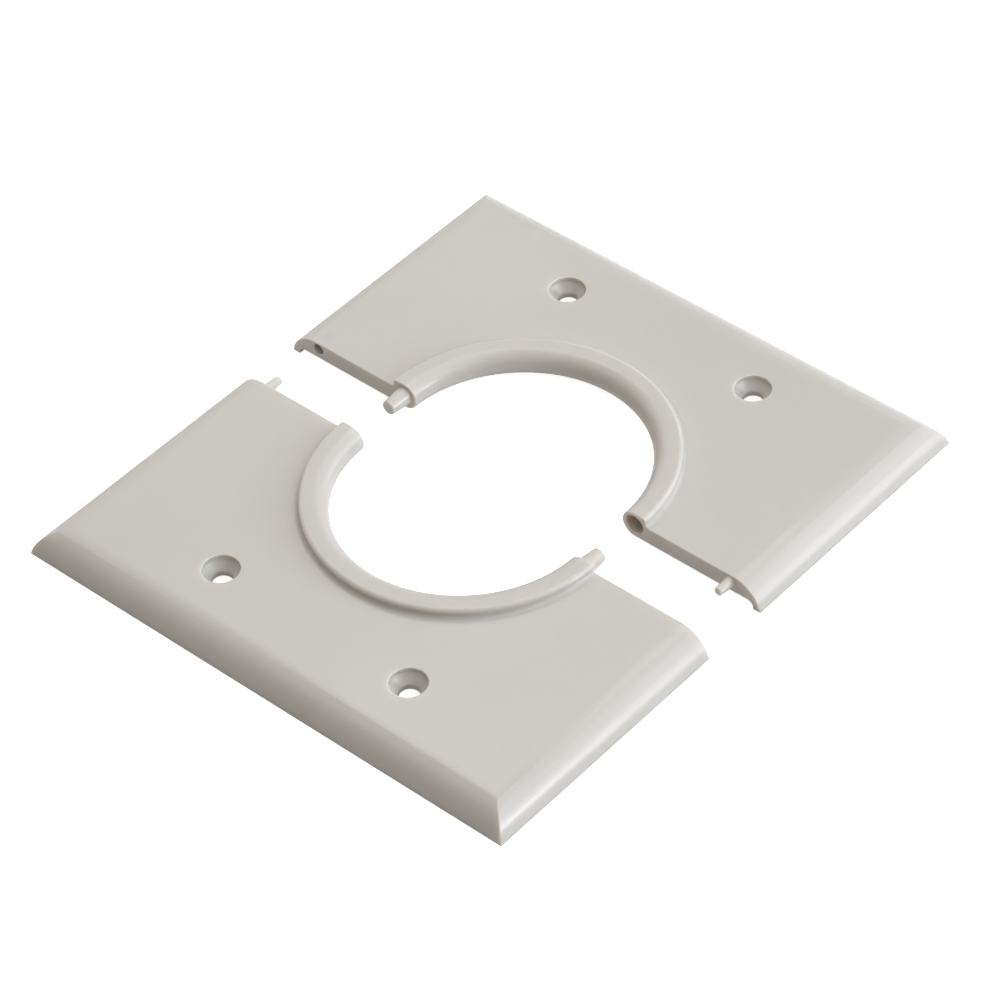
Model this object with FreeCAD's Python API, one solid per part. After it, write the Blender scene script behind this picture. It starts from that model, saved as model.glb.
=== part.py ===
import FreeCAD
import Part
import math
import os

# Split cable wall plate: two equal moulded halves, laid apart on their rims with the faces up.
# Millimetres. X runs along the split, Y across it towards the upper half, Z out of the face.
# The origin lies midway between the two halves, in the plane of the rims.
# Each half is first made with its split plane at Y = 0 and is then moved to its place.

# Outline of the closed plate
plate_width = 115.9
plate_height = 114.3
face_height = 5.55
edge_run = 6.5
wall = 1.8

# Distance between the split planes of the two halves as they lie
parting_gap = 14.6

# Split flange and the recess of everything on the back that stays off the wall
flange_thickness = 2.6
back_recess = 1.65
recess_round = 1.4

# Raised ring round the cable opening
opening_radius = 25.5
ring_rise = 1.9
ring_land = 2.7
ring_top_chamfer = 0.45
ring_foot_chamfer = 0.55
collar_width = 1.2

# Screw holes
screw_spacing_x = 46.04
screw_spacing_y = 83.34
screw_bore = 4.0
screw_rim = 7.2
screw_counterbore = 0.9
screw_cone_angle = 82.0
screw_boss_wall = 2.8

# Pegs and the sockets that take them
large_peg_root = 3.8
large_peg_tip = 3.0
large_peg_length = 4.75
large_peg_rise = 0.15
small_peg_root = 2.2
small_peg_tip = 1.8
small_peg_length = 3.65
small_peg_rise = 0.35
small_peg_inset = 7.05
peg_chamfer = 0.35
peg_anchor = 0.8
peg_clearance = 0.12
socket_spare_depth = 0.5
socket_boss_wall = 1.5

# Worked out: the outer edge is an arc that leaves the face smoothly and ends at the rim
half_width = plate_width / 2
half_height = plate_height / 2
edge_radius = (edge_run ** 2 + face_height ** 2) / (2 * face_height)
edge_centre_z = face_height - edge_radius
inner_edge_radius = edge_radius - wall
foot_run = edge_run - math.sqrt(inner_edge_radius ** 2 - edge_centre_z ** 2)

# Worked out: the nose of the ring is a half circle from the back recess to the ring's top,
# and the land reaches from there to the ring's outer wall
ring_top = face_height + ring_rise
nose_radius = (ring_top - back_recess) / 2
nose_centre_z = back_recess + nose_radius
nose_centre_radius = opening_radius + nose_radius
ring_outer_radius = nose_centre_radius + ring_land
collar_radius = ring_outer_radius + collar_width

# Worked out: peg axes, a little above the middle of the section that carries them
large_peg_x = nose_centre_radius
large_peg_z = nose_centre_z + large_peg_rise
small_peg_x = half_width - small_peg_inset
small_peg_z = (back_recess + face_height) / 2 + small_peg_rise

# How far cutting bodies run past what they cut
overcut = 1.0


def point(u, z, along_x=True):
    """A point of an upright section, at u along X or along Y."""
    if along_x:
        return FreeCAD.Vector(u, 0, z)
    return FreeCAD.Vector(0, u, z)


def line(start, end):
    return Part.LineSegment(start, end).toShape()


def arc(start, middle, end):
    return Part.Arc(start, middle, end).toShape()


def chain(corners):
    """Straight edges from corner to corner."""
    return [line(a, b) for a, b in zip(corners, corners[1:])]


def filled(edges):
    return Part.Face(Part.Wire(edges))


def turned(corners, axis):
    """A full turn of a straight-sided section about an axis through the origin."""
    edges = chain(corners + corners[:1])
    return filled(edges).revolve(FreeCAD.Vector(0, 0, 0), axis, 360)


def block(x0, x1, y0, y1, z0, z1):
    """A working block between the given limits."""
    return Part.makeBox(x1 - x0, y1 - y0, z1 - z0, FreeCAD.Vector(x0, y0, z0))


def plate_section(reach, radius, along_x):
    """Upright section through the closed plate: a flat top that rounds down to both rims.

    The arcs all share the centre of the outer edge, so a smaller radius gives an even wall.
    """
    centre_u = reach - edge_run
    rim_u = centre_u + math.sqrt(radius ** 2 - edge_centre_z ** 2)
    top_z = edge_centre_z + radius
    rim_angle = math.asin(-edge_centre_z / radius)
    middle_angle = (rim_angle + math.pi / 2) / 2
    middle_u = centre_u + radius * math.cos(middle_angle)
    middle_z = edge_centre_z + radius * math.sin(middle_angle)

    def at(u, z):
        return point(u, z, along_x)

    return filled([
        line(at(-rim_u, -overcut), at(-rim_u, 0)),
        arc(at(-rim_u, 0), at(-middle_u, middle_z), at(-centre_u, top_z)),
        line(at(-centre_u, top_z), at(centre_u, top_z)),
        arc(at(centre_u, top_z), at(middle_u, middle_z), at(rim_u, 0)),
        line(at(rim_u, 0), at(rim_u, -overcut)),
        line(at(rim_u, -overcut), at(-rim_u, -overcut)),
    ])


def plate_body(radius):
    """The closed plate without its opening: two long bars crossed, which mitres the corners."""
    across = plate_section(half_width, radius, along_x=True)
    across.translate(FreeCAD.Vector(0, -half_height - overcut, 0))
    bar_across = across.extrude(FreeCAD.Vector(0, 2 * (half_height + overcut), 0))
    along = plate_section(half_height, radius, along_x=False)
    along.translate(FreeCAD.Vector(-half_width - overcut, 0, 0))
    bar_along = along.extrude(FreeCAD.Vector(2 * (half_width + overcut), 0, 0))
    return bar_across.common(bar_along)


def above(y):
    """Everything of the upper half that lies beyond y and over the plane of the rim."""
    return block(-2 * half_width, 2 * half_width, y, 2 * half_height, 0, 2 * ring_top)


def flange_recess():
    """The gap under the split flange, rounded where it meets the feet of the rim."""
    side = half_width - foot_run
    top = back_recess
    inset = recess_round * (1 - math.sqrt(0.5))
    section = filled([
        line(point(-side, -overcut), point(-side, top - recess_round)),
        arc(point(-side, top - recess_round), point(-side + inset, top - inset),
            point(-side + recess_round, top)),
        line(point(-side + recess_round, top), point(side - recess_round, top)),
        arc(point(side - recess_round, top), point(side - inset, top - inset),
            point(side, top - recess_round)),
        line(point(side, top - recess_round), point(side, -overcut)),
        line(point(side, -overcut), point(-side, -overcut)),
    ])
    section.translate(FreeCAD.Vector(0, -overcut, 0))
    return section.extrude(FreeCAD.Vector(0, flange_thickness + 2 * overcut, 0))


def screw_positions():
    return [(side * screw_spacing_x / 2, screw_spacing_y / 2) for side in (-1, 1)]


def screw_boss(x, y):
    radius = screw_bore / 2 + screw_boss_wall
    height = face_height - wall / 2 - back_recess
    return Part.makeCylinder(radius, height, FreeCAD.Vector(x, y, back_recess))


def screw_hole(x, y):
    """Bore, cone and counterbore for an oval-head screw, turned as one cutter."""
    bore = screw_bore / 2
    rim = screw_rim / 2
    cone_top = face_height - screw_counterbore
    cone_bottom = cone_top - (rim - bore) / math.tan(math.radians(screw_cone_angle / 2))
    over = face_height + overcut
    corners = [(0, -overcut), (bore, -overcut), (bore, cone_bottom)]
    corners += [(rim, cone_top), (rim, over), (0, over)]
    cutter = turned([point(r, z) for r, z in corners], FreeCAD.Vector(0, 0, 1))
    cutter.translate(FreeCAD.Vector(x, y, 0))
    return cutter


def opening_cut():
    """The round hole in the face, cut to midway under the ring's land, which then closes it."""
    radius = nose_centre_radius + ring_land / 2
    height = ring_top + 2 * overcut
    return Part.makeCylinder(radius, height, FreeCAD.Vector(0, 0, -overcut))


def half_ring():
    """The raised ring: a rolled nose, a flat land, a chamfered foot and a collar on the back."""
    nose_back = point(nose_centre_radius, back_recess)
    nose_tip = point(opening_radius, nose_centre_z)
    nose_top = point(nose_centre_radius, ring_top)
    foot_radius = ring_outer_radius + ring_foot_chamfer
    buried_z = face_height - wall / 2
    corners = [
        nose_top,
        point(ring_outer_radius - ring_top_chamfer, ring_top),
        point(ring_outer_radius, ring_top - ring_top_chamfer),
        point(ring_outer_radius, face_height + ring_foot_chamfer),
        point(foot_radius, face_height),
        point(foot_radius, buried_z),
        point(collar_radius, buried_z),
        point(collar_radius, back_recess),
        nose_back,
    ]
    section = filled([arc(nose_back, nose_tip, nose_top)] + chain(corners))
    return section.revolve(FreeCAD.Vector(0, 0, 0), FreeCAD.Vector(0, 0, 1), 180)


def peg(root, tip, length, x, z):
    """A tapered peg with a chamfered tip that stands out of the split plane towards -Y."""
    shoulder = length - peg_chamfer
    flat = tip / 2 - peg_chamfer
    corners = [(0, peg_anchor), (root / 2, peg_anchor), (root / 2, 0)]
    corners += [(tip / 2, -shoulder), (flat, -length), (0, -length)]
    body = turned([FreeCAD.Vector(r, y, 0) for r, y in corners], FreeCAD.Vector(0, 1, 0))
    body.translate(FreeCAD.Vector(x, 0, z))
    return body


def socket(root, length, x, z):
    """The bore that takes a peg, with the clearance all round and spare depth at its end."""
    depth = length + socket_spare_depth
    start = FreeCAD.Vector(x, -overcut, z)
    return Part.makeCylinder(root / 2 + peg_clearance, depth + overcut, start, FreeCAD.Vector(0, 1, 0))


def socket_boss():
    """The round-ended block behind the flange that holds the small socket."""
    radius = small_peg_root / 2 + peg_clearance + socket_boss_wall
    depth = small_peg_length + socket_spare_depth + socket_boss_wall
    height = face_height - wall / 2 - back_recess
    straight = block(-small_peg_x - radius, -small_peg_x + radius, 0, depth - radius,
                     back_recess, back_recess + height)
    end = Part.makeCylinder(radius, height, FreeCAD.Vector(-small_peg_x, depth - radius, back_recess))
    return straight.fuse(end)


def moulded_half():
    """One half with its split plane at Y = 0 and its body towards +Y."""
    outside = plate_body(edge_radius)
    half = outside.common(above(0))
    half = half.cut(plate_body(inner_edge_radius).common(
        block(-2 * half_width, 2 * half_width, flange_thickness, 2 * half_height, -overcut, ring_top)))
    half = half.cut(flange_recess())
    bosses = [screw_boss(x, y) for x, y in screw_positions()]
    bosses.append(socket_boss().common(outside))
    half = half.fuse(bosses)
    half = half.cut(opening_cut())
    half = half.fuse(half_ring())
    half = half.fuse([
        peg(large_peg_root, large_peg_tip, large_peg_length, -large_peg_x, large_peg_z),
        peg(small_peg_root, small_peg_tip, small_peg_length, small_peg_x, small_peg_z),
    ])
    cutters = [screw_hole(x, y) for x, y in screw_positions()]
    cutters.append(socket(large_peg_root, large_peg_length, large_peg_x, large_peg_z))
    cutters.append(socket(small_peg_root, small_peg_length, -small_peg_x, small_peg_z))
    half = half.cut(cutters)
    return half.removeSplitter()


upper_half = moulded_half()
upper_half.translate(FreeCAD.Vector(0, parting_gap / 2, 0))
lower_half = upper_half.copy()
lower_half.rotate(FreeCAD.Vector(0, 0, 0), FreeCAD.Vector(0, 0, 1), 180)

os.makedirs("parts", exist_ok=True)
for name, shape in (("upper_half", upper_half), ("lower_half", lower_half)):
    solid = shape.Solids[0]
    print(name, "solids", len(shape.Solids), "valid", solid.isValid(), "volume", round(solid.Volume, 1))
    solid.exportStep("parts/" + name + ".step")
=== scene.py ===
"""Looks of a split cable wall plate: two moulded halves lying apart on a pale floor.

The halves keep the form of the frame's own solids. Each is a copy whose edges get the small
radius that a mould leaves, in a satin off-white plastic.
"""

import math

import bmesh
import bpy
from mathutils import Matrix, Vector


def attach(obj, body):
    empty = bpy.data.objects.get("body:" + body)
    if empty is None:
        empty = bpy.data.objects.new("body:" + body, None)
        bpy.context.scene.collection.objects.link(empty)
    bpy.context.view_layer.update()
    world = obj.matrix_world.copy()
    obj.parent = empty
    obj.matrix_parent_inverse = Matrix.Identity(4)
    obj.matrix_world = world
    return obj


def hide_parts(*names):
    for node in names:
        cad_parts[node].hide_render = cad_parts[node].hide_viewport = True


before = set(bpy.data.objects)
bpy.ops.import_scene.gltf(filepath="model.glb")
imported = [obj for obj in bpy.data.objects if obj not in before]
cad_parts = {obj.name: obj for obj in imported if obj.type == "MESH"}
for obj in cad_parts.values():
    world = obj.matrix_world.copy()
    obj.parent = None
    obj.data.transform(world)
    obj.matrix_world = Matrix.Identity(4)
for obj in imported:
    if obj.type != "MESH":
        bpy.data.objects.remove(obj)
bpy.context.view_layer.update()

bl_info = {
    "name": "Split cable wall plate",
    "version": (1, 0, 0),
    "blender": (4, 5, 0),
    "location": "3D View > Sidebar > Wall Plate",
    "description": "Dresses the two halves of a split cable wall plate and sets up its studio",
    "category": "Object",
}

MILLIMETRE = 0.001
BODY = "root"
HALVES = ("upper_half", "lower_half")

# The split plane of the upper half, and the flat face, as in the solids
SPLIT_Y = 7.3 * MILLIMETRE
FACE_HEIGHT = 5.55 * MILLIMETRE

# Each peg of the upper half: its axis in X and Z, its length, and the radius where its tip begins
PEGS = (
    (-28.4 * MILLIMETRE, 4.7 * MILLIMETRE, 4.75 * MILLIMETRE, 1.5 * MILLIMETRE),
    (50.9 * MILLIMETRE, 3.95 * MILLIMETRE, 3.65 * MILLIMETRE, 0.9 * MILLIMETRE),
)
PEG_CHAMFER = 0.35 * MILLIMETRE

# Faces beyond a peg's shoulder are the peg's own within this many of its radii from its axis
PEG_SEARCH_RADII = 2.0

# Points of a mesh nearer to each other than this become one, faces that turn by less than the level
# angle are joined, and edges that turn by less than the smooth angle are shaded smooth
WELD_DISTANCE = 0.001 * MILLIMETRE
LEVEL_ANGLE = math.radians(0.05)
SMOOTH_ANGLE = math.radians(32.0)

# The ring's chamfers turn by this much, give or take the spread
CHAMFER_TURN = math.radians(45.0)
CHAMFER_SPREAD = math.radians(5.0)

# The plastic: its index of refraction, how far each colour of light wanders in it as a share of the
# light reach, the tone of its specks, how far its roughness varies, and its pits and grain
PLASTIC_IOR = 1.45
REACH_BY_COLOUR = (1.0, 0.85, 0.72)
SPECK_TONE = (0.86, 0.83, 0.79)
ROUGHNESS_SPREAD = 0.02
PIT_HEIGHT = -6.0
GRAIN_STRENGTH = 0.25
GRAIN_HEIGHT = 0.004 * MILLIMETRE

# The floor, a little below the rims so that the two don't share a plane
FLOOR_DROP = 0.05 * MILLIMETRE
FLOOR_PAINT = (0.80, 0.785, 0.77)

# How white floor and world are to rays from the camera, and to rays by way of gloss or glass. The
# lamps add about 0.75 to the floor's own glow, so gloss sees it near 1 and the camera clips it.
FLOOR_GLOW = (0.9, 0.25)
WORLD_WHITE = (1.0, 1.0)

# The camera's sensor in millimetres, and in metres the nearest and furthest that it sees
SENSOR_WIDTH = 36.0
NEAREST_SEEN = 0.01
FURTHEST_SEEN = 20.0

# How far each lamp stands from the origin, in metres
LAMP_DISTANCE = 1.1

# Tints of the lamps
COOL = (0.89, 0.955, 1.0)
PLAIN = (1.0, 1.0, 1.0)
WARM = (1.0, 0.90, 0.80)

# Each soft lamp: name, azimuth from +X towards +Y and elevation in degrees, diameter in metres,
# watts and tint
SOFT_LAMPS = (
    ("low_right", 28, 12, 0.62, 3.70, COOL),
    ("low_right_back", 60, 12, 0.62, 2.15, COOL),
    ("low_left_back", 150, 12, 0.62, 0.52, COOL),
    ("strip_right", 20, 12, 0.16, 1.75, COOL),
    ("right", 0, 38, 0.62, 1.24, PLAIN),
    ("right_back", 30, 38, 0.62, 1.83, COOL),
    ("back", 60, 38, 0.62, 1.16, COOL),
    ("left_back", 150, 38, 0.62, 1.00, PLAIN),
    ("left", 180, 38, 0.62, 0.91, WARM),
    ("left_front", 210, 38, 0.62, 0.63, WARM),
    ("front", 300, 38, 0.62, 0.78, WARM),
    ("high_right", 0, 66, 0.80, 1.58, PLAIN),
    ("high_back", 60, 66, 0.80, 1.13, COOL),
    ("high_left_back", 120, 66, 0.80, 3.24, PLAIN),
    ("high_front", 240, 66, 0.80, 1.32, WARM),
)


class MouldingSettings(bpy.types.PropertyGroup):
    """Sizes and finish of the two moulded halves."""

    edge_radius: bpy.props.FloatProperty(
        name="Edge radius",
        description="Radius that the mould leaves on each edge",
        default=0.16 * MILLIMETRE,
        min=0.0,
        unit="LENGTH",
        precision=5,
    )
    edge_segments: bpy.props.IntProperty(
        name="Edge segments",
        description="How many faces go round each softened edge",
        default=3,
        min=1,
        max=8,
    )
    edge_angle: bpy.props.FloatProperty(
        name="Edge angle",
        description="An edge is softened where its faces turn by more than this",
        default=math.radians(28.0),
        subtype="ANGLE",
    )
    ring_edge_reach: bpy.props.FloatProperty(
        name="Ring edge reach",
        description="How far the rounding of the ring's chamfers reaches to each side of an edge",
        default=0.30 * MILLIMETRE,
        min=0.0,
        unit="LENGTH",
        precision=5,
    )
    peg_tip_steps: bpy.props.IntProperty(
        name="Peg tip steps",
        description="How many rings of faces round each peg tip",
        default=5,
        min=2,
        max=12,
    )
    plastic_colour: bpy.props.FloatVectorProperty(
        name="Plastic colour",
        description="Colour of the bare moulding",
        default=(0.599, 0.571, 0.546),
        subtype="COLOR",
        size=3,
        min=0.0,
        max=1.0,
    )
    shade_colour: bpy.props.FloatVectorProperty(
        name="Flow mark colour",
        description="Slightly deeper tone of the broad, faint flow marks",
        default=(0.589, 0.560, 0.531),
        subtype="COLOR",
        size=3,
        min=0.0,
        max=1.0,
    )
    roughness: bpy.props.FloatProperty(
        name="Roughness",
        description="Roughness of the satin surface",
        default=0.20,
        min=0.0,
        max=1.0,
        subtype="FACTOR",
    )
    light_reach: bpy.props.FloatProperty(
        name="Light reach",
        description="How far light wanders inside the plastic before it comes out again",
        default=2.2 * MILLIMETRE,
        min=0.0,
        unit="LENGTH",
        precision=5,
    )


class StudioSettings(bpy.types.PropertyGroup):
    """Camera, lamps and floor."""

    azimuth: bpy.props.FloatProperty(
        name="Camera azimuth",
        description="Turn of the view about Z, from looking along +Y",
        default=math.radians(43.525),
        subtype="ANGLE",
    )
    elevation: bpy.props.FloatProperty(
        name="Camera elevation",
        description="How steeply the camera looks down",
        default=math.radians(43.949),
        subtype="ANGLE",
    )
    roll: bpy.props.FloatProperty(
        name="Camera roll",
        description="Turn of the picture about the line of sight",
        default=math.radians(3.697),
        subtype="ANGLE",
    )
    distance: bpy.props.FloatProperty(
        name="Camera distance",
        description="Distance along the line of sight to the origin",
        default=799.61 * MILLIMETRE,
        unit="LENGTH",
    )
    aim_right: bpy.props.FloatProperty(
        name="Aim right",
        description="How far right of the picture's centre the origin lies",
        default=-1.29 * MILLIMETRE,
        unit="LENGTH",
    )
    aim_up: bpy.props.FloatProperty(
        name="Aim up",
        description="How far above the picture's centre the origin lies",
        default=0.35 * MILLIMETRE,
        unit="LENGTH",
    )
    lens: bpy.props.FloatProperty(
        name="Lens",
        description="Focal length for a 36 mm sensor",
        default=154.03,
        unit="CAMERA",
    )
    floor_size: bpy.props.FloatProperty(
        name="Floor size",
        description="Side of the square floor",
        default=4.0,
        unit="LENGTH",
    )


def only_active(piece):
    """Selects one object and nothing else."""
    bpy.ops.object.select_all(action="DESELECT")
    piece.select_set(True)
    bpy.context.view_layer.objects.active = piece


def new_group(name, inputs, outputs):
    """An empty shader node group with named sockets."""
    group = bpy.data.node_groups.new(name, "ShaderNodeTree")
    for socket, kind, default in inputs:
        made = group.interface.new_socket(name=socket, in_out="INPUT", socket_type=kind)
        if default is not None:
            made.default_value = default
    for socket, kind in outputs:
        group.interface.new_socket(name=socket, in_out="OUTPUT", socket_type=kind)
    start = group.nodes.new("NodeGroupInput")
    end = group.nodes.new("NodeGroupOutput")
    return group, start, end


def flow_mark_group():
    """Broad, faint clouds of tone, as where a melt has run through a mould."""
    group, start, end = new_group(
        "Flow marks",
        [("Vector", "NodeSocketVector", None), ("Clouds per metre", "NodeSocketFloat", 30.0)],
        [("Mask", "NodeSocketFloat")],
    )
    noise = group.nodes.new("ShaderNodeTexNoise")
    noise.inputs["Detail"].default_value = 2.0
    noise.inputs["Roughness"].default_value = 0.45
    spread = group.nodes.new("ShaderNodeMapRange")
    spread.interpolation_type = "SMOOTHSTEP"
    spread.inputs["From Min"].default_value = 0.35
    spread.inputs["From Max"].default_value = 0.65
    group.links.new(start.outputs["Vector"], noise.inputs["Vector"])
    group.links.new(start.outputs["Clouds per metre"], noise.inputs["Scale"])
    group.links.new(noise.outputs["Fac"], spread.inputs["Value"])
    group.links.new(spread.outputs["Result"], end.inputs["Mask"])
    return group


def speck_group():
    """A few tiny pits, far apart, each a soft round spot."""
    group, start, end = new_group(
        "Specks",
        [
            ("Vector", "NodeSocketVector", None),
            ("Cells per metre", "NodeSocketFloat", 60.0),
            ("Size", "NodeSocketFloat", 0.03),
            ("Share", "NodeSocketFloat", 0.12),
        ],
        [("Mask", "NodeSocketFloat")],
    )
    cells = group.nodes.new("ShaderNodeTexVoronoi")
    cells.feature = "F1"
    spot = group.nodes.new("ShaderNodeMapRange")
    spot.interpolation_type = "SMOOTHSTEP"
    spot.inputs["To Min"].default_value = 1.0
    spot.inputs["To Max"].default_value = 0.0
    chance = group.nodes.new("ShaderNodeSeparateColor")
    chosen = group.nodes.new("ShaderNodeMath")
    chosen.operation = "LESS_THAN"
    both = group.nodes.new("ShaderNodeMath")
    both.operation = "MULTIPLY"
    group.links.new(start.outputs["Vector"], cells.inputs["Vector"])
    group.links.new(start.outputs["Cells per metre"], cells.inputs["Scale"])
    group.links.new(cells.outputs["Distance"], spot.inputs["Value"])
    group.links.new(start.outputs["Size"], spot.inputs["From Max"])
    group.links.new(cells.outputs["Color"], chance.inputs["Color"])
    group.links.new(chance.outputs["Red"], chosen.inputs[0])
    group.links.new(start.outputs["Share"], chosen.inputs[1])
    group.links.new(spot.outputs["Result"], both.inputs[0])
    group.links.new(chosen.outputs["Value"], both.inputs[1])
    group.links.new(both.outputs["Value"], end.inputs["Mask"])
    return group


def satin_grain_group():
    """The very fine unevenness of a satin mould surface, as a height."""
    group, start, end = new_group(
        "Satin grain",
        [("Vector", "NodeSocketVector", None), ("Grains per metre", "NodeSocketFloat", 2500.0)],
        [("Height", "NodeSocketFloat")],
    )
    noise = group.nodes.new("ShaderNodeTexNoise")
    noise.inputs["Detail"].default_value = 3.0
    noise.inputs["Roughness"].default_value = 0.6
    group.links.new(start.outputs["Vector"], noise.inputs["Vector"])
    group.links.new(start.outputs["Grains per metre"], noise.inputs["Scale"])
    group.links.new(noise.outputs["Fac"], end.inputs["Height"])
    return group


def satin_plastic(settings):
    """Satin off-white moulded plastic."""
    material = bpy.data.materials.new("satin_off_white_plastic")
    material.use_nodes = True
    tree = material.node_tree
    shader = tree.nodes["Principled BSDF"]
    shader.inputs["IOR"].default_value = PLASTIC_IOR
    shader.inputs["Subsurface Weight"].default_value = 1.0
    shader.inputs["Subsurface Radius"].default_value = REACH_BY_COLOUR
    shader.inputs["Subsurface Scale"].default_value = settings.light_reach
    place = tree.nodes.new("ShaderNodeTexCoord")

    marks = tree.nodes.new("ShaderNodeGroup")
    marks.node_tree = flow_mark_group()
    specks = tree.nodes.new("ShaderNodeGroup")
    specks.node_tree = speck_group()
    grain = tree.nodes.new("ShaderNodeGroup")
    grain.node_tree = satin_grain_group()
    for group in (marks, specks, grain):
        tree.links.new(place.outputs["Object"], group.inputs["Vector"])

    tone = tree.nodes.new("ShaderNodeMix")
    tone.data_type = "RGBA"
    tone.inputs["A"].default_value = (*settings.plastic_colour, 1.0)
    tone.inputs["B"].default_value = (*settings.shade_colour, 1.0)
    tree.links.new(marks.outputs["Mask"], tone.inputs["Factor"])
    spotted = tree.nodes.new("ShaderNodeMix")
    spotted.data_type = "RGBA"
    spotted.blend_type = "MULTIPLY"
    spotted.inputs["B"].default_value = (*SPECK_TONE, 1.0)
    tree.links.new(specks.outputs["Mask"], spotted.inputs["Factor"])
    tree.links.new(tone.outputs["Result"], spotted.inputs["A"])
    tree.links.new(spotted.outputs["Result"], shader.inputs["Base Color"])

    gloss = tree.nodes.new("ShaderNodeMapRange")
    gloss.inputs["To Min"].default_value = settings.roughness - ROUGHNESS_SPREAD
    gloss.inputs["To Max"].default_value = settings.roughness + ROUGHNESS_SPREAD
    tree.links.new(marks.outputs["Mask"], gloss.inputs["Value"])
    tree.links.new(gloss.outputs["Result"], shader.inputs["Roughness"])

    pits = tree.nodes.new("ShaderNodeMath")
    pits.operation = "MULTIPLY_ADD"
    pits.inputs[1].default_value = PIT_HEIGHT
    tree.links.new(specks.outputs["Mask"], pits.inputs[0])
    tree.links.new(grain.outputs["Height"], pits.inputs[2])
    bump = tree.nodes.new("ShaderNodeBump")
    bump.inputs["Strength"].default_value = GRAIN_STRENGTH
    bump.inputs["Distance"].default_value = GRAIN_HEIGHT
    tree.links.new(pits.outputs["Value"], bump.inputs["Height"])
    tree.links.new(bump.outputs["Normal"], shader.inputs["Normal"])
    return material


class WALLPLATE_OT_mouldings(bpy.types.Operator):
    """Make both halves from the frame's solids, with softened edges and the satin plastic"""

    bl_idname = "wallplate.mouldings"
    bl_label = "Moulded halves"

    def execute(self, context):
        settings = context.scene.wallplate_moulding
        plastic = satin_plastic(settings)
        for node in HALVES:
            piece = self.softened_copy(context, node, settings)
            piece.data.materials.clear()
            piece.data.materials.append(plastic)
            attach(piece, BODY)
            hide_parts(node)
            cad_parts[node].data.materials.clear()
            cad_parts[node].data.materials.append(plastic)
        return {"FINISHED"}

    def softened_copy(self, context, node, settings):
        """A copy of a node with its loose triangles joined and a small radius on each edge."""
        piece = bpy.data.objects.new(node + "_moulding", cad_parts[node].data.copy())
        context.scene.collection.objects.link(piece)
        only_active(piece)
        bpy.ops.object.mode_set(mode="EDIT")
        bpy.ops.mesh.select_all(action="SELECT")
        bpy.ops.mesh.customdata_custom_splitnormals_clear()
        bpy.ops.mesh.remove_doubles(threshold=WELD_DISTANCE)
        bpy.ops.mesh.dissolve_limited(angle_limit=LEVEL_ANGLE)
        bpy.ops.object.mode_set(mode="OBJECT")
        side = 1.0 if node == "upper_half" else -1.0
        for peg in PEGS:
            self.round_peg_tip(piece, side, peg, settings)
        self.weigh_edges(piece.data, settings)
        soft = piece.modifiers.new("Edge radius", "BEVEL")
        soft.width = settings.ring_edge_reach
        soft.segments = settings.edge_segments
        soft.limit_method = "WEIGHT"
        soft.use_clamp_overlap = False
        soft.miter_outer = "MITER_ARC"
        bpy.ops.object.modifier_apply(modifier=soft.name)
        bpy.ops.object.shade_smooth_by_angle(angle=SMOOTH_ANGLE)
        flat = piece.modifiers.new("Flat faces", "WEIGHTED_NORMAL")
        flat.keep_sharp = True
        bpy.ops.object.modifier_apply(modifier=flat.name)
        return piece

    def round_peg_tip(self, piece, side, peg, settings):
        """Draws the chamfered end of a peg anew as a rounded one, ring by ring towards its flat."""
        x, z, length, radius = peg
        axis = Vector((side * x, 0.0, z))
        shoulder = SPLIT_Y - length + PEG_CHAMFER
        bpy.ops.object.mode_set(mode="EDIT")
        bpy.ops.mesh.select_mode(type="FACE")
        bpy.ops.mesh.select_all(action="DESELECT")
        bpy.ops.object.mode_set(mode="OBJECT")
        for face in piece.data.polygons:
            away = face.center - axis
            off_axis = math.hypot(away.x, away.z)
            face.select = abs(face.center.y) < shoulder and off_axis < PEG_SEARCH_RADII * radius
        bpy.ops.object.mode_set(mode="EDIT")
        bpy.ops.mesh.delete(type="FACE")
        bpy.ops.mesh.select_mode(type="EDGE")
        bpy.ops.mesh.select_non_manifold(extend=False, use_multi_face=False, use_verts=False)
        reach = 0.0
        scale = 1.0
        for step in range(1, settings.peg_tip_steps + 1):
            turn = math.radians(90.0) * step / settings.peg_tip_steps
            next_reach = PEG_CHAMFER * math.sin(turn)
            next_scale = 1.0 - PEG_CHAMFER * (1.0 - math.cos(turn)) / radius
            along = -side * (next_reach - reach)
            bpy.ops.mesh.extrude_edges_move(TRANSFORM_OT_translate={"value": (0.0, along, 0.0)})
            shrink = next_scale / scale
            bpy.ops.transform.resize(value=(shrink, 1.0, shrink), center_override=axis)
            reach = next_reach
            scale = next_scale
        bpy.ops.mesh.edge_face_add()
        bpy.ops.object.mode_set(mode="OBJECT")

    def weigh_edges(self, mesh, settings):
        """Gives each sharp edge its share of the widest rounding, which is that of the ring."""
        shaped = bmesh.new()
        shaped.from_mesh(mesh)
        weight = shaped.edges.layers.float.new("bevel_weight_edge")
        for edge in shaped.edges:
            turn = edge.calc_face_angle(0.0)
            if turn < settings.edge_angle:
                continue
            on_ring = min(v.co.z for v in edge.verts) > FACE_HEIGHT - WELD_DISTANCE
            chamfered = abs(turn - CHAMFER_TURN) < CHAMFER_SPREAD
            if on_ring and chamfered:
                reach = settings.ring_edge_reach
            else:
                reach = settings.edge_radius
            edge[weight] = reach / settings.ring_edge_reach
        shaped.to_mesh(mesh)
        shaped.free()


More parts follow.
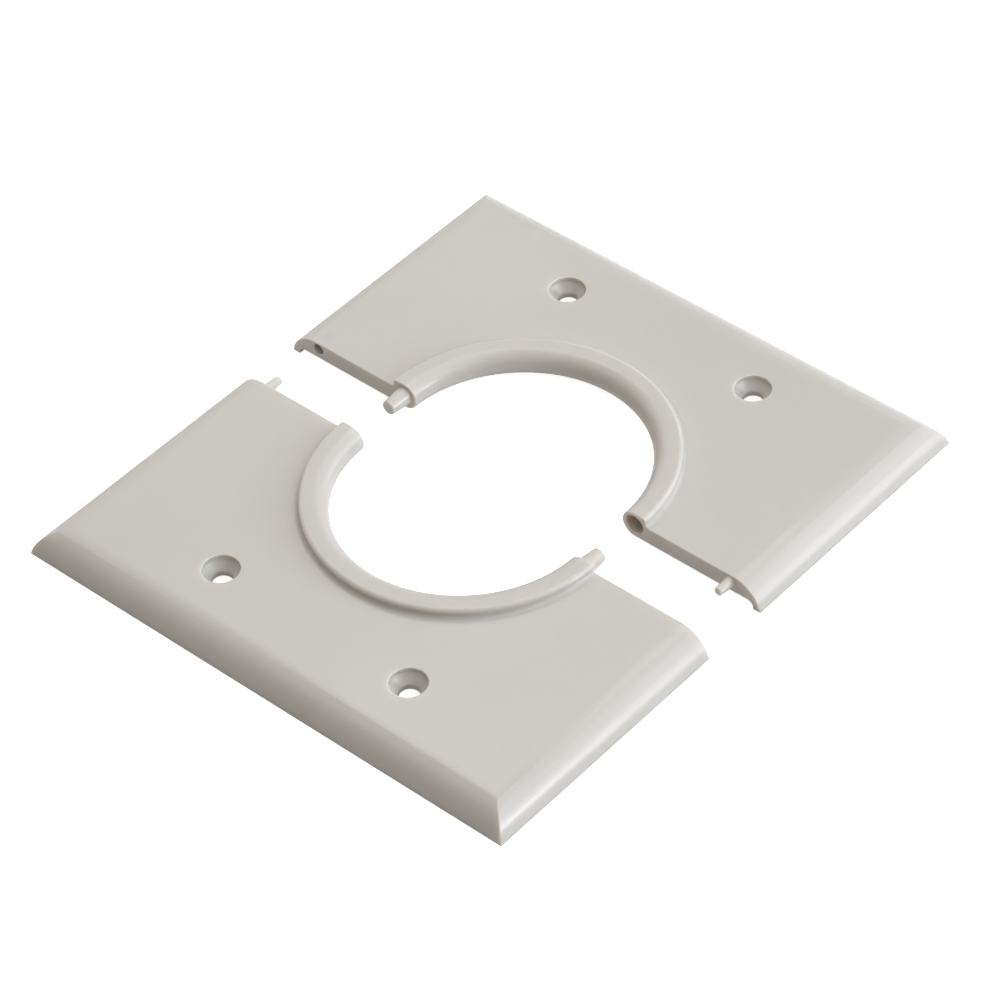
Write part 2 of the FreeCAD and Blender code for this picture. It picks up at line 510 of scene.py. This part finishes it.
class WALLPLATE_OT_studio(bpy.types.Operator):
    """Make the pale floor, the soft lamps and the camera"""

    bl_idname = "wallplate.studio"
    bl_label = "Studio"

    def execute(self, context):
        settings = context.scene.wallplate_studio
        self.floor(settings)
        self.world(context)
        self.lamps(context)
        self.camera(context, settings)
        return {"FINISHED"}

    def worked_out(self, tree, operation, first, second):
        """Result of a Math node on two sockets, or on a socket and a number."""
        node = tree.nodes.new("ShaderNodeMath")
        node.operation = operation
        for socket, given in zip(node.inputs, (first, second)):
            if isinstance(given, float):
                socket.default_value = given
            else:
                tree.links.new(given, socket)
        return node.outputs["Value"]

    def seen_white(self, tree, to_camera, by_way):
        """The given white for rays from the camera and for rays by way of gloss or glass, else 0."""
        rays = tree.nodes.new("ShaderNodeLightPath").outputs
        indirect = self.worked_out(tree, "MAXIMUM", rays["Is Glossy Ray"], rays["Is Transmission Ray"])
        camera_share = self.worked_out(tree, "MULTIPLY", rays["Is Camera Ray"], to_camera)
        indirect_share = self.worked_out(tree, "MULTIPLY", indirect, by_way)
        return self.worked_out(tree, "MAXIMUM", camera_share, indirect_share)

    def floor(self, settings):
        """A pale square that catches the object's shadow and glows white where it is seen."""
        bpy.ops.mesh.primitive_plane_add(size=settings.floor_size, location=(0, 0, -FLOOR_DROP))
        floor = bpy.context.active_object
        floor.name = "floor"
        material = bpy.data.materials.new("pale_floor")
        material.use_nodes = True
        tree = material.node_tree
        tree.nodes.remove(tree.nodes["Principled BSDF"])
        paint = tree.nodes.new("ShaderNodeBsdfDiffuse")
        paint.inputs["Color"].default_value = (*FLOOR_PAINT, 1.0)
        glow = tree.nodes.new("ShaderNodeEmission")
        glow.inputs["Color"].default_value = (1.0, 1.0, 1.0, 1.0)
        tree.links.new(self.seen_white(tree, *FLOOR_GLOW), glow.inputs["Strength"])
        both = tree.nodes.new("ShaderNodeAddShader")
        tree.links.new(paint.outputs["BSDF"], both.inputs[0])
        tree.links.new(glow.outputs["Emission"], both.inputs[1])
        tree.links.new(both.outputs["Shader"], tree.nodes["Material Output"].inputs["Surface"])
        floor.data.materials.append(material)

    def world(self, context):
        """White where it is seen, and dark to the light that falls on the object."""
        world = bpy.data.worlds.new("studio")
        context.scene.world = world
        world.use_nodes = True
        tree = world.node_tree
        room = tree.nodes["Background"]
        room.inputs["Color"].default_value = (0.0, 0.0, 0.0, 1.0)
        white = tree.nodes.new("ShaderNodeBackground")
        white.inputs["Color"].default_value = (1.0, 1.0, 1.0, 1.0)
        choice = tree.nodes.new("ShaderNodeMixShader")
        tree.links.new(self.seen_white(tree, *WORLD_WHITE), choice.inputs["Fac"])
        tree.links.new(room.outputs["Background"], choice.inputs[1])
        tree.links.new(white.outputs["Background"], choice.inputs[2])
        tree.links.new(choice.outputs["Shader"], tree.nodes["World Output"].inputs["Surface"])

    def lamps(self, context):
        """Round soft lamps on a dome about the origin, brightest from the right."""
        for name, azimuth, elevation, size, watts, tint in SOFT_LAMPS:
            data = bpy.data.lights.new(name, "AREA")
            data.shape = "DISK"
            data.size = size
            data.energy = watts
            data.color = tint
            lamp = bpy.data.objects.new(name, data)
            turn = math.radians(azimuth)
            lift = math.radians(elevation)
            direction = Vector((
                math.cos(turn) * math.cos(lift),
                math.sin(turn) * math.cos(lift),
                math.sin(lift),
            ))
            lamp.location = LAMP_DISTANCE * direction
            lamp.rotation_euler = (-direction).to_track_quat("-Z", "Y").to_euler()
            context.scene.collection.objects.link(lamp)

    def camera(self, context, settings):
        """Places the camera by its angles, with the origin at the given offset in the picture."""
        azimuth = settings.azimuth
        elevation = settings.elevation
        right = Vector((math.cos(azimuth), math.sin(azimuth), 0.0))
        forward = Vector((
            -math.sin(azimuth) * math.cos(elevation),
            math.cos(azimuth) * math.cos(elevation),
            -math.sin(elevation),
        ))
        up = right.cross(forward)
        turn = Matrix.Rotation(settings.roll, 3, forward)
        right = turn @ right
        up = turn @ up
        place = -(settings.aim_right * right + settings.aim_up * up + settings.distance * forward)
        data = bpy.data.cameras.new("camera")
        data.lens = settings.lens
        data.sensor_width = SENSOR_WIDTH
        data.clip_start = NEAREST_SEEN
        data.clip_end = FURTHEST_SEEN
        camera = bpy.data.objects.new("camera", data)
        axes = Matrix((right, up, -forward)).transposed()
        camera.matrix_world = Matrix.Translation(place) @ axes.to_4x4()
        context.scene.collection.objects.link(camera)
        context.scene.camera = camera
        context.scene.view_settings.view_transform = "Standard"


class WALLPLATE_PT_panel(bpy.types.Panel):
    """Shows the settings and the two buttons in the 3D view's sidebar"""

    bl_idname = "WALLPLATE_PT_panel"
    bl_label = "Split cable wall plate"
    bl_space_type = "VIEW_3D"
    bl_region_type = "UI"
    bl_category = "Wall Plate"

    def draw(self, context):
        layout = self.layout
        for settings, operator in (
            (context.scene.wallplate_moulding, WALLPLATE_OT_mouldings.bl_idname),
            (context.scene.wallplate_studio, WALLPLATE_OT_studio.bl_idname),
        ):
            box = layout.box()
            for name in settings.__annotations__:
                box.prop(settings, name)
            box.operator(operator)


CLASSES = (
    MouldingSettings,
    StudioSettings,
    WALLPLATE_OT_mouldings,
    WALLPLATE_OT_studio,
    WALLPLATE_PT_panel,
)


def register():
    for kind in CLASSES:
        bpy.utils.register_class(kind)
    bpy.types.Scene.wallplate_moulding = bpy.props.PointerProperty(type=MouldingSettings)
    bpy.types.Scene.wallplate_studio = bpy.props.PointerProperty(type=StudioSettings)


def unregister():
    del bpy.types.Scene.wallplate_studio
    del bpy.types.Scene.wallplate_moulding
    for kind in reversed(CLASSES):
        bpy.utils.unregister_class(kind)


def main():
    register()
    bpy.ops.wallplate.mouldings()
    bpy.ops.wallplate.studio()


if __name__ == "__main__":
    main()
